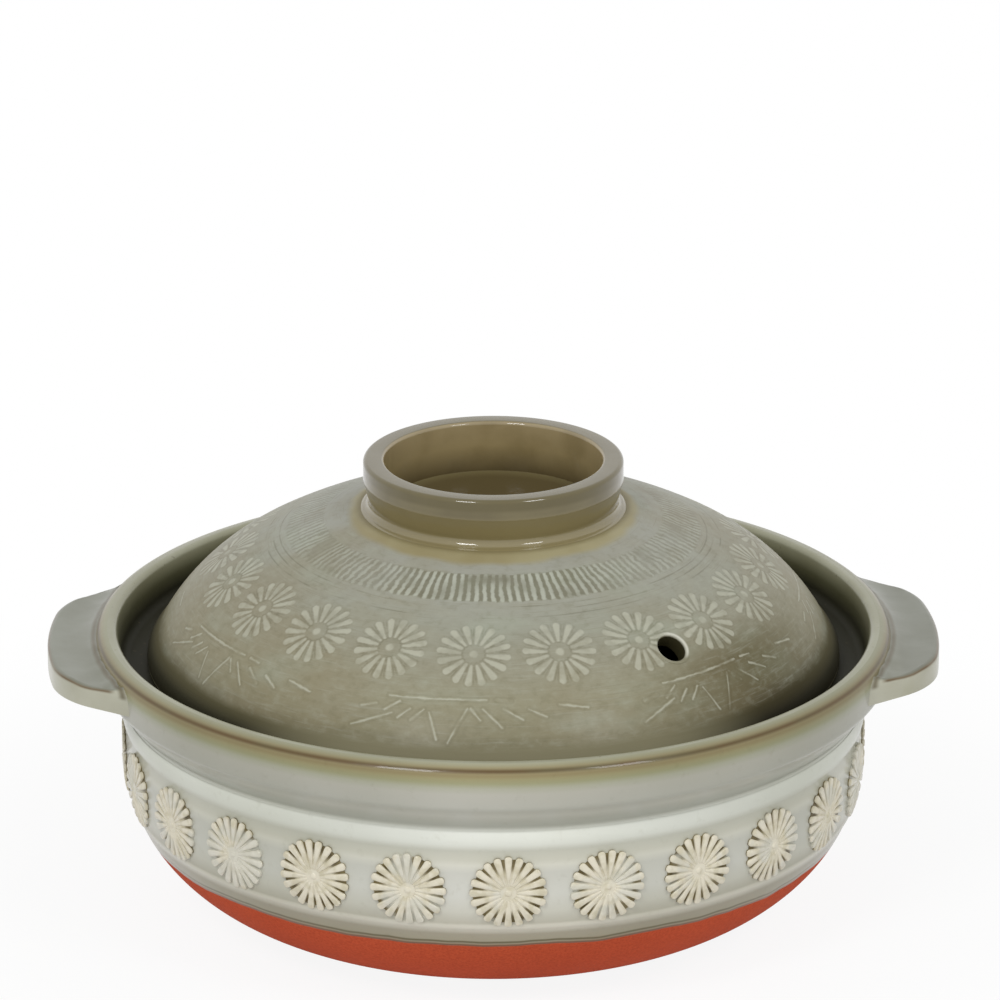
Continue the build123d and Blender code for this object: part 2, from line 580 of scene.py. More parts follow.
class Paint(Shading):
    """A finish under construction: a material with one shader."""

    def __init__(self, name: str) -> None:
        """Start a material with a Principled shader.

        Args:
            name: Name of the material.
        """
        self.material = bpy.data.materials.new(name)
        self.material.use_nodes = True
        super().__init__(self.material.node_tree)
        self.shader = self.tree.nodes["Principled BSDF"]
        self.spot: bpy.types.NodeSocket | None = None

    def place(self) -> tuple[Field, Field, Field]:
        """The point's place on the piece, in millimetres.

        Returns:
            The three coordinates.
        """
        source = self.node("ShaderNodeTexCoord").outputs["Object"]
        scaled = self.node("ShaderNodeVectorMath", {"operation": "SCALE"}, {0: source, "Scale": 1 / MM})
        self.spot = scaled.outputs[0]
        parts = self.node("ShaderNodeSeparateXYZ", None, {0: self.spot})
        return tuple(Field(self, parts.outputs[i]) for i in range(3))

    def facing(self) -> Field:
        """How far the surface faces up, from -1 to 1."""
        source = self.node("ShaderNodeTexCoord").outputs["Normal"]
        return Field(self, self.node("ShaderNodeSeparateXYZ", None, {0: source}).outputs[2])

    def vector(self, x: Value, y: Value, z: Value) -> bpy.types.NodeSocket:
        """Join three values into a vector."""
        return self.node("ShaderNodeCombineXYZ", None, {0: x, 1: y, 2: z}).outputs[0]

    def noise(
        self, scale: float, detail: float = 3.0, rough: float = 0.5, about: bpy.types.NodeSocket | None = None
    ) -> Field:
        """Cloudy noise from 0 to 1 about the point's place, or another vector, whose unit is a millimetre."""
        inputs = {"Vector": about or self.spot, "Scale": scale, "Detail": detail, "Roughness": rough}
        return Field(self, self.node("ShaderNodeTexNoise", {"noise_dimensions": "3D"}, inputs).outputs["Fac"])

    def blend(self, share: Value, first: object, second: object, kind: str = "MIX") -> bpy.types.NodeSocket:
        """Mix two colours by a share, plainly or in another of the Mix node's ways."""
        settings = {"data_type": "RGBA", "blend_type": kind}
        return self.node("ShaderNodeMix", settings, {0: share, 6: first, 7: second}).outputs[2]

    def relief(self, height: Field, depth: float) -> bpy.types.NodeSocket:
        """Fine relief: the height is a share of a depth in millimetres."""
        inputs = {"Height": height, "Distance": depth * MM, "Strength": 1.0}
        return self.node("ShaderNodeBump", None, inputs).outputs[0]

    def finish(self, **inputs: object) -> bpy.types.Material:
        """Set the shader's sockets; an underscore in a name stands for a blank.

        Args:
            inputs: Values or links by socket name.

        Returns:
            The material.
        """
        for key, value in inputs.items():
            self.plug(self.shader.inputs[key.replace("_", " ")], value)
        return self.material

    def glaze(
        self,
        gloss: "Gloss",
        colour: object,
        ridge: bpy.types.NodeSocket,
        shine: Value | None = None,
        bare: Value = 0.0,
    ) -> bpy.types.Material:
        """Finish as a glaze.

        Args:
            gloss: How the glaze shines.
            colour: Its colour.
            ridge: Its fine relief.
            shine: Its roughness, where that varies.
            bare: Share of the surface that has no coat over it.

        Returns:
            The material.
        """
        sockets = gloss.sockets() | {"Coat_Weight": gloss.coat * (1.0 - bare)}
        shine = gloss.roughness if shine is None else shine
        return self.finish(Base_Color=colour, Roughness=shine, Normal=ridge, **sockets)


class Layers:
    """A colour laid up in layers."""

    def __init__(self, paint: Paint, ground: bpy.types.NodeSocket) -> None:
        """Start from a ground colour."""
        self.paint = paint
        self.socket = ground

    @classmethod
    def along(cls, value: Field, low: float, high: float, *stops: Stop) -> "Layers":
        """Start from a ground that changes along a value.

        Args:
            value: The value that picks the colour.
            low: Value at the first end.
            high: Value at the last end.
            stops: Each stop's place, in the value's own unit, and its colour as a screen shows it.

        Returns:
            The layers.
        """
        share = (value - low) / (high - low)
        places = [((at - low) / (high - low), srgb(*colour)) for at, *colour in stops]
        made = value.paint.node("ShaderNodeValToRGB", {"stops": places}, {0: share})
        return cls(value.paint, made.outputs[0])

    def lay(self, kind: str, share: Value, colour: tuple) -> None:
        """Mix in a colour.

        Args:
            kind: The Mix node's way.
            share: How much of it.
            colour: Three numbers as a screen shows it, or one thing that holds a colour.
        """
        over = srgb(*colour) if len(colour) == 3 else colour[0]
        self.socket = self.paint.blend(share, self.socket, over, kind)

    def blend(self, share: Value, *colour: object) -> None:
        """Cover the colour by a share."""
        self.lay("MIX", share, colour)

    def shade(self, share: Value, *colour: object) -> None:
        """Multiply the colour by another, by a share."""
        self.lay("MULTIPLY", share, colour)


# Finishes


@dataclass(frozen=True)
class Gloss:
    """How the glaze shines."""

    roughness: float = 0.3
    coat: float = 0.32
    coat_roughness: float = 0.07
    mirror: float = 0.22
    coat_ior: float = 1.5

    def sockets(self) -> dict[str, float]:
        """The shader's constants.

        Returns:
            Values by socket name.
        """
        return {
            "Coat_Weight": self.coat,
            "Coat_Roughness": self.coat_roughness,
            "Coat_IOR": self.coat_ior,
            "IOR": GLAZE_IOR,
            "Specular_IOR_Level": self.mirror,
        }


@dataclass(frozen=True)
class WallGlaze:
    """The pot's outer glaze: grey-green at the rim, milky on the band, with bare clay under its edge."""

    trim_z: float
    gloss: Gloss = Gloss()
    clay: Colour = srgb(196, 84, 50)
    clay_dark: Colour = srgb(178, 72, 42)
    edge: Colour = srgb(98, 90, 60)
    burn: Colour = srgb(106, 60, 32)
    brown: Colour = srgb(76, 68, 36)
    rust: Colour = srgb(94, 74, 42)
    glaze_end: float = 27.2

    def material(self) -> bpy.types.Material:
        """Mix the wall's glaze.

        Returns:
            The material.
        """
        paint = Paint("wall_glaze")
        x, y, z = paint.place()
        radius = (x * x + y * y).root()
        soft = paint.noise(0.02, 2.0)
        fine = paint.noise(0.35, 4.0, 0.6)
        drift = (paint.noise(0.035, 2.0) - 0.5) * 5.0
        level = z + drift * z.near(48.0, 8.0) * 0.5
        # Colours by height. The stop at 34.8 is a painted highlight on the turned ridge. The bead's stops at
        # 63.0 and 66.8 are lighter, partly a painted highlight on its upper face over its pale slip. The
        # stops at 68.2 and 69.4 are darker: painted shade in the waist under the collar, with glaze pooled
        # there.
        body = Layers.along(
            level, 22.0, 92.0,
            (27.0, 150, 130, 98), (29.6, 164, 158, 136), (32.2, 166, 160, 142),
            (33.4, 196, 192, 177), (34.8, 216, 213, 199), (36.4, 188, 185, 170),
            (40.5, 208, 207, 195), (46.0, 213, 213, 205), (53.5, 208, 208, 199),
            (56.0, 222, 221, 209), (57.6, 212, 211, 197), (60.6, 204, 204, 191),
            (63.0, 226, 228, 219), (66.8, 236, 238, 230), (68.2, 196, 197, 186),
            (69.4, 172, 173, 162), (71.0, 176, 177, 166), (74.2, 190, 190, 180),
            (76.5, 180, 180, 169), (79.0, 182, 181, 171), (82.6, 184, 182, 171),
            (84.6, 174, 174, 155), (86.2, 158, 157, 122), (87.6, 156, 149, 110),
            (88.6, 144, 131, 94), (90.8, 152, 142, 108), (91.4, 162, 161, 134),
        )
        # Painted highlight: a pale line along the turned ridge.
        ridge_highlight = z.near(self.trim_z, 1.1)
        body.blend(ridge_highlight * 0.6, 222, 219, 205)
        body.shade(soft.step(0.35, 0.75) * 0.3, 222, 222, 212)
        body.shade(fine.step(0.55, 0.8) * 0.2, 206, 203, 190)
        # Painted shade: the wall darkens away from the front, most on the right, where it turns from the
        # lamps.
        turned = abs(x).step(8.0, 50.0) * 0.5 + x.step(60.0, 118.0) * 0.5 + x.step(-60.0, -118.0) * 0.2
        body.shade(turned, 222, 223, 218)
        wear = paint.noise(0.05, 3.0).step(0.3, 0.62)
        rim = z.near(89.95, 0.95) * radius.step(121.0, 123.0)
        rust = paint.blend(wear, self.brown, self.rust)
        body.blend(rim * (0.8 + 0.2 * wear), rust)
        wave = (paint.noise(0.045, 2.0, about=paint.vector(x, y, 0.0)) - 0.5) * 3.2
        line = z + wave - self.glaze_end
        body.blend(line.near(1.7, 0.75), self.edge)
        body.blend(line.near(0.3, 0.9) * 0.9, self.burn)
        grain = paint.noise(1.2, 4.0, 0.7)
        clay = Layers(paint, paint.blend(grain.step(0.35, 0.7), self.clay, self.clay_dark))
        clay.shade(soft.step(0.4, 0.7) * 0.3, 232, 222, 214)
        bare = line.step(0.15, -0.15)
        body.blend(bare, clay)
        shine = self.gloss.roughness + bare * (0.85 - self.gloss.roughness)
        ridge = paint.relief(grain * bare * 0.6 + paint.noise(0.12, 2.0) * (1 - bare), 0.12)
        return paint.glaze(self.gloss, body, ridge, shine, bare)


@dataclass(frozen=True)
class InnerGlaze:
    """The pot's inner glaze: grey-green, thin on the ledge's nose, and darkened by painted shade in the
    gallery and on the ledge.
    """

    gloss: Gloss = Gloss()

    def material(self) -> bpy.types.Material:
        """Mix the inner glaze.

        Returns:
            The material.
        """
        paint = Paint("inner_glaze")
        x, y, z = paint.place()
        # Painted shade: the stops from 78.2 to 85.5 darken the gallery and the ledge under the lid's rim,
        # over glaze pooled there.
        body = Layers.along(
            z, 0.0, 95.0,
            (8.0, 118, 113, 88), (40.0, 132, 128, 103), (70.0, 112, 108, 82),
            (78.2, 38, 37, 22), (81.5, 42, 41, 26), (85.5, 86, 85, 62), (89.0, 138, 137, 112),
            (91.2, 158, 158, 136),
        )
        cloud = paint.noise(0.03, 3.0).step(0.35, 0.7)
        body.shade(cloud * 0.4, 205, 200, 178)
        speck = paint.noise(0.6, 2.0).step(0.68, 0.74)
        body.blend(speck * 0.35, 84, 72, 50)
        ridge = paint.relief(paint.noise(0.1, 2.0), 0.12)
        shaded = z.near(80.0, 8.0)
        shine = self.gloss.roughness + shaded * 0.35
        return paint.glaze(self.gloss, body, ridge, shine, shaded)


@dataclass(frozen=True)
class EarGlaze:
    """The ears' glaze: grey on the flat, brown where it runs thin on the edge."""

    gloss: Gloss = Gloss()
    brown: Colour = srgb(92, 70, 38)

    def material(self) -> bpy.types.Material:
        """Mix the ears' glaze.

        Returns:
            The material.
        """
        paint = Paint("ear_glaze")
        x, y, z = paint.place()
        radius = (x * x + y * y).root()
        up = paint.facing()
        top = paint.blend(x.step(125.0, 128.0), srgb(132, 134, 121), srgb(124, 126, 113))
        side = srgb(180, 179, 162)
        body = Layers(paint, paint.blend(up.step(0.55, 0.9), side, top))
        body.shade(paint.noise(0.04, 3.0).step(0.4, 0.7) * 0.4, 208, 206, 190)
        wear = paint.noise(0.05, 2.0).step(0.25, 0.6)
        edge = up.near(0.6, 0.42) * z.step(84.8, 85.8) * radius.step(127.5, 129.5)
        body.blend(edge * (0.6 + 0.4 * wear), self.brown)
        tinge = paint.noise(0.09, 2.0).step(0.5, 0.8) * 0.35
        body.blend(tinge * up.step(0.6, 0.2), 150, 148, 110)
        # Painted shade: a dark line in the crease where the ear meets the collar.
        crease_shade = radius.near(126.5, 1.3) * z.step(84.5, 86.0)
        body.blend(crease_shade * 0.8, 92, 82, 56)
        ridge = paint.relief(paint.noise(0.1, 2.0), 0.15)
        return paint.glaze(self.gloss, body, ridge)


class GlazeCover(Enum):
    """How thickly the milky glaze lies over a stamped rosette."""

    THIN = "thin"
    EVEN = "even"
    THICK = "thick"


@dataclass(frozen=True)
class RosetteGlaze:
    """Cream petals with brown glaze in the grooves between them."""

    cover: GlazeCover
    centre_z: float
    count: int
    wall: Callable[[float], float]
    gloss: Gloss = Gloss(0.34, 0.25, 0.1)

    def material(self) -> bpy.types.Material:
        """Mix the rosette's glaze.

        Returns:
            The material.
        """
        level = {GlazeCover.THIN: 0.66, GlazeCover.EVEN: 0.55, GlazeCover.THICK: 0.44}[self.cover]
        paint = Paint(f"rosette_glaze_{self.cover.value}")
        x, y, z = paint.place()
        foot, belly = self.wall(0.0), self.wall(self.centre_z + 20.0)
        drop = (z - self.centre_z - 0.5).least(0.0) / (self.centre_z + 0.5)
        wall = foot + (belly - foot) * (1.0 - drop * drop).root()
        proud = (x * x + y * y).root() - wall
        sector = tau / self.count
        middle = self.wall(self.centre_z)
        across = (paint.math("ARCTAN2", x, -y) / sector).folded() * sector * middle
        up = z - self.centre_z
        reach = (across * across + up * up).root()
        milk = paint.blend(paint.noise(0.3, 2.0).step(0.4, 0.6), srgb(212, 211, 200), srgb(200, 200, 188))
        dark = paint.blend(paint.noise(0.25, 2.0).step(0.35, 0.65), srgb(98, 86, 52), srgb(132, 120, 84))
        groove = paint.blend(reach.step(9.5, 3.5), dark, srgb(150, 142, 114))
        worn = paint.noise(0.35, 3.0).step(0.4, 0.7)
        cream = paint.blend(worn, srgb(222, 216, 197), srgb(205, 198, 173))
        flooded = paint.noise(0.11, 2.0).step(level - 0.06, level + 0.06) * 0.85
        petal = paint.blend(flooded * 0.7, cream, milk)
        deep = proud.step(0.56, 0.2)
        body = paint.blend(deep, petal, paint.blend(flooded, groove, milk))
        ridge = paint.relief(paint.noise(0.5, 3.0), 0.1)
        return paint.glaze(self.gloss, body, ridge)


@dataclass(frozen=True)
class Stroke:
    """A stroke of inlaid slip, from one place to another on the dome's surface."""

    start: Point
    end: Point


@dataclass(frozen=True)
class LidGlaze:
    """Brushed slip under an olive-grey glaze, with stamped flowers, a combed band and a few free strokes."""

    dome: Dome
    hole: SteamHole
    gloss: Gloss = Gloss(0.46, 0.06, 0.15)
    flower_count: int = 20
    flower_petals: int = 16
    flower_ring: float = 84.2
    flower_turn: float = -6.3
    petal_span: Point = (4.3, 10.4)
    petal_half: Point = (0.38, 1.02)
    comb_span: Point = (53.4, 65.2)
    comb_count: int = 150
    fine_lines: tuple[float, ...] = (67.2, 69.2, 71.5)
    spill_radius: float = 48.6
    motif_count: int = 7
    motif_turn: float = -7.0
    motif_ring: float = 96.4
    strokes: tuple[Stroke, ...] = (
        Stroke((-24.0, 0.2), (6.0, -0.2)),
        Stroke((9.0, -0.2), (13.5, 0.2)),
        Stroke((-23.0, 5.6), (-36.0, 11.0)),
        Stroke((0.3, 2.7), (-5.2, 13.7)),
        Stroke((-11.3, 4.7), (-8.8, 12.8)),
        Stroke((1.3, 2.7), (4.4, 6.4)),
        Stroke((5.0, 2.7), (11.3, 8.8)),
        Stroke((11.3, 2.7), (17.5, 6.4)),
        Stroke((19.0, 3.0), (24.7, 5.7)),
        Stroke((28.4, 2.0), (37.5, 3.8)),
        Stroke((-13.0, 3.7), (-17.0, 7.4)),
        Stroke((-17.2, 3.7), (-21.2, 7.0)),
        Stroke((-20.6, 1.7), (-25.4, 5.0)),
        Stroke((-28.0, 3.2), (-33.0, 4.6)),
    )

    def length(self, paint: Paint, radius: Field, z: Field) -> Field:
        """Length along the dome from its pole to the shaded point.

        Args:
            paint: The finish under construction.
            radius: Distance from the axis.
            z: Height.

        Returns:
            The length in millimetres.
        """
        dome = self.dome
        centre = dome.shoulder_centre
        crown = paint.math("ARCTAN2", radius, z - dome.crown_z).least(dome.join_turn)
        shoulder = paint.math("ARCTAN2", radius - centre[0], z - centre[1]) - dome.join_turn
        return crown * dome.crown_radius + shoulder.most(0.0) * dome.shoulder_radius

    def flowers(self, paint: Paint, turn: Field, radius: Field, length: Field) -> tuple[Field, Field]:
        """The ring of stamped flowers.

        Args:
            paint: The finish under construction.
            turn: Angle about the axis in radians, from the front.
            radius: Distance from the axis.
            length: Length along the dome from its pole.

        Returns:
            1 in the slip of the petals, and 1 in the pressed line round them, else 0.
        """
        sector = tau / self.flower_count
        across = ((turn - radians(self.flower_turn)) / sector).folded() * sector * radius
        down = length - self.dome.along(self.flower_ring)
        reach = (across * across + down * down).root()
        angle = paint.math("ARCTAN2", across, down) + 0.1
        petal_sector = tau / self.flower_petals
        aside = (angle / petal_sector).folded() * petal_sector
        outward = reach * aside.cosine()
        sideways = reach * aside.sine()
        first, last = self.petal_span
        share = ((outward - first) / (last - first)).between(0.0, 1.0)
        beyond = outward - outward.between(first, last)
        gap = (sideways * sideways + beyond * beyond).root()
        half = self.petal_half[0] + share * (self.petal_half[1] - self.petal_half[0])
        petals = (gap - half).step(0.3, -0.2)
        halo = (gap - half).near(0.55, 0.45)
        boss = reach.step(1.7, 0.9)
        return petals.most(boss), halo * reach.step(self.petal_span[1] + 2.2, 9.0)

    def motifs(self, turn: Field, radius: Field, length: Field) -> Field:
        """Distance from the middle of the nearest free stroke under the flowers.

        Args:
            turn: Angle about the axis in radians, from the front.
            radius: Distance from the axis.
            length: Length along the dome from its pole.

        Returns:
            The distance in millimetres.
        """
        sector = tau / self.motif_count
        across = ((turn - radians(self.motif_turn)) / sector).folded() * sector * radius
        down = length - self.dome.along(self.motif_ring)
        nearest: Field | None = None
        for stroke in self.strokes:
            run = (stroke.end[0] - stroke.start[0], stroke.end[1] - stroke.start[1])
            square = run[0] ** 2 + run[1] ** 2
            aside = across - stroke.start[0]
            below = down - stroke.start[1]
            share = (aside * (run[0] / square) + below * (run[1] / square)).between(0.0, 1.0)
            aside = aside - share * run[0]
            below = below - share * run[1]
            gap = aside * aside + below * below
            nearest = gap if nearest is None else nearest.least(gap)
        return nearest.root()

    def bored(self, *place: Field) -> tuple[Field, Field]:
        """The shaded point's distance from the steam hole's axis, and its height along that axis.

        Args:
            place: The point's three coordinates.

        Returns:
            The distance and the height.
        """
        offset = [value - middle for value, middle in zip(place, self.hole.centre)]
        along = offset[0] * self.hole.axis[0] + offset[1] * self.hole.axis[1] + offset[2] * self.hole.axis[2]
        square = offset[0] * offset[0] + offset[1] * offset[1] + offset[2] * offset[2]
        return (square - along * along).most(0.0).root(), along

    def material(self) -> bpy.types.Material:
        """Mix the lid's glaze.

        Returns:
            The material.
        """
        paint = Paint("lid_glaze")
        x, y, z = paint.place()
        radius = (x * x + y * y).root()
        turn = paint.math("ARCTAN2", x, -y)
        length = self.length(paint, radius, z)
        ring = paint.vector(x / radius * 9.0, y / radius * 9.0, length * 1.1)
        tight = paint.vector(x / radius * 5.0, y / radius * 5.0, length * 2.6)
        wash = paint.noise(0.022, 3.0)
        brush = paint.noise(0.9, 4.0, 0.6, ring)
        streak = paint.noise(0.8, 3.0, 0.6, tight)
        # Colours by radius. The dome darkens towards its edge, partly its glaze's own tone and partly painted
        # shade from the rim. Past 103.4 the skirt is painted dark: painted shade where it sits down in the
        # gallery.
        body = Layers.along(
            radius, 30.0, 115.0,
            (45.0, 158, 158, 147), (62.0, 156, 156, 144), (75.0, 150, 150, 135),
            (88.0, 145, 142, 123), (97.0, 144, 140, 116), (103.4, 136, 131, 105),
            (105.8, 90, 85, 60), (108.6, 46, 44, 28),
        )
        lit = radius.step(106.5, 104.5)
        cool = paint.noise(0.035, 3.0, 0.6, paint.vector(x * 0.7, y * 0.7, length * 1.6))
        body.blend(cool.step(0.5, 0.68) * 0.45 * lit, 158, 163, 146)
        body.blend(cool.step(0.48, 0.34) * 0.4 * lit, 147, 143, 122)
        body.blend(wash.step(0.45, 0.68) * 0.5 * lit, 136, 127, 100)
        # Painted shade: the dome is darker and browner low on its right side, away from the stronger lamp.
        low = radius.step(84.0, 98.0) * turn.near(0.92, 0.6)
        body.shade(low, 184, 178, 156)
        # At the front, the painted shade on the dome's lower edge is eased to a paler colour.
        front = radius.step(102.0, 106.0) * (-y).step(70.0, 100.0)
        body.blend(front * 0.75, 138, 133, 106)
        tooth = paint.noise(0.3, 3.0, 0.6, paint.vector(x, y, z * 1.6))
        body.shade(tooth.step(0.5, 0.7) * 0.3 * lit, 212, 211, 196)
        body.blend(tooth.step(0.5, 0.3) * 0.16 * lit, 170, 173, 156)
        body.blend(brush.step(0.5, 0.75) * 0.3 * lit, 166, 167, 152)
        body.blend(streak.step(0.56, 0.7) * 0.26 * lit, 122, 117, 94)
        ragged = paint.noise(0.5, 3.0) - 0.5
        slip, pressed = self.flowers(paint, turn, radius + ragged * 0.6, length + ragged * 0.9)
        slip = slip * (0.45 + 0.55 * paint.noise(0.22, 2.0).step(0.32, 0.6))
        outside = radius.step(91.5, 93.0)
        gap = self.motifs(turn, radius, length + ragged * 0.6) + (paint.noise(0.3, 2.0) - 0.5) * 0.7
        strokes = gap.step(0.5, 0.0) * outside * paint.noise(0.12, 3.0).step(0.3, 0.55)
        # Painted shade: a dark line along each free stroke's edges.
        stroke_shade = gap.near(0.8, 0.5) * outside
        ahead = (y / radius).step(-0.75, -0.95)
        tilt = (paint.noise(0.06, 2.0) - 0.5) * (2.6 - ahead * 1.6) + ragged * (0.9 - ahead * 0.5)
        comb = abs((turn * (self.comb_count / tau) + tilt).folded()).step(0.36, 0.12)
        window = (length + ragged * 2.6 - self.dome.along(self.comb_span[0])).step(-0.5, 0.6)
        window = window * (length + ragged * 2.6 - self.dome.along(self.comb_span[1])).step(0.5, -0.6)
        comb = comb * window * paint.noise(0.08, 2.0).step(0.25, 0.6)
        lines = length.near(self.dome.along(self.fine_lines[0]), 0.45)
        for place in self.fine_lines[1:]:
            lines = lines.most(length.near(self.dome.along(place), 0.45))
        broken = paint.noise(0.05, 3.0, 0.6, paint.vector(x, y, length * 3.0))
        lines = lines * broken.step(0.42, 0.58)
        pale = srgb(190, 190, 172)
        cut = window * (1.0 - comb) * (0.35 + ahead * 0.5)
        body.shade(cut, 194, 191, 174)
        body.shade(pressed * 0.45 * ragged.step(-0.2, 0.15), 190, 187, 170)
        # Painted shade beside the free strokes.
        body.shade(stroke_shade * 0.2, 196, 193, 178)
        body.blend(slip * 0.56, pale)
        body.blend(strokes * 0.6, pale)
        body.blend(comb * (0.3 + ahead * 0.3), 186, 190, 174)
        body.shade(lines * 0.5, 188, 186, 170)
        wave = (paint.noise(0.06, 2.0, about=paint.vector(x, y, 0.0)) - 0.5) * 7.0
        around = radius + wave * 0.6 + (1.0 + y / radius) * 3.2
        spill = around.step(self.spill_radius + 1.4, self.spill_radius - 1.8)
        mottle = paint.noise(0.05, 2.0).step(0.35, 0.65)
        knob = Layers(paint, paint.blend(mottle, srgb(150, 140, 104), srgb(162, 154, 120)))
        knob.blend(radius.step(44.5, 41.0), 124, 114, 78)
        # Painted shade: the floor of the knob's recess is darkened.
        knob.blend(radius.step(36.0, 30.0), 84, 73, 44)
        body.blend(spill, knob)
        inside = paint.facing().step(0.02, -0.25)
        body.blend(inside, 132, 126, 100)
        ray, sunk = self.bored(x, y, z)
        # Painted highlight: a pale crescent on the steam hole's upper-right rim.
        glint = (ray.near(5.1, 0.8) * (x * 0.5 + y * 0.8).step(-31.5, -28.0)).least(1.0)
        body.blend(glint * 0.75, 214, 213, 200)
        # Painted shade: the inside of the steam hole's bore is darkened.
        body.blend(ray.step(5.05, 4.75) * sunk.step(-0.5, -1.2), 62, 58, 38)
        height = slip * 0.7 + strokes * 0.6 + comb * 0.8 + brush * 0.35 - lines * 0.5
        ridge = paint.relief(height * (1.0 - spill), 0.16)
        matt = 1.0 - lit
        shine = self.gloss.roughness + (brush - 0.5) * 0.12 + matt * 0.3
        return paint.glaze(self.gloss, body, ridge, shine, matt)


@dataclass(frozen=True)
class KnobGlaze:
    """Olive-brown glaze; the ring's crest, where the glaze thins, is painted darker to tone down the bright
    reflection it catches.
    """

    gloss: Gloss = Gloss(0.32, 0.85, 0.02, 0.1, 1.65)
    lip_z: float = 141.4

    def material(self) -> bpy.types.Material:
        """Mix the knob's glaze.

        Returns:
            The material.
        """
        paint = Paint("knob_glaze")
        x, y, z = paint.place()
        radius = (x * x + y * y).root()
        cloud = paint.noise(0.05, 3.0)
        body = Layers(paint, paint.blend(cloud.step(0.35, 0.65), srgb(102, 92, 58), srgb(113, 103, 68)))
        body.blend(z.step(134.5, 131.5) * 0.8, 138, 127, 90)
        neck = z.step(140.6, 138.6) * z.step(131.5, 134.5)
        body.blend(neck * 0.8, 126, 114, 76)
        # Painted shade: the knob's bore darkens towards its floor.
        hollow = Layers.along(
            z, 128.0, 146.0,
            (130.0, 92, 80, 52), (138.0, 150, 134, 96), (145.0, 158, 142, 106),
        )
        hollow.shade(paint.noise(0.07, 3.0).step(0.4, 0.7) * 0.5, 206, 202, 186)
        body.blend(radius.step(35.4, 34.6), hollow)
        # Painted shade: the crest is darkened to tone down the bright reflection it catches from above.
        crest = z.step(self.lip_z, self.lip_z + 1.6) * (0.6 + 0.4 * paint.noise(0.08, 2.0).step(0.2, 0.6))
        body.blend(crest * radius.step(34.6, 35.4), 94, 84, 46)
        ridge = paint.relief(paint.noise(0.12, 2.0), 0.1)
        return paint.glaze(self.gloss, body, ridge)


# The pot


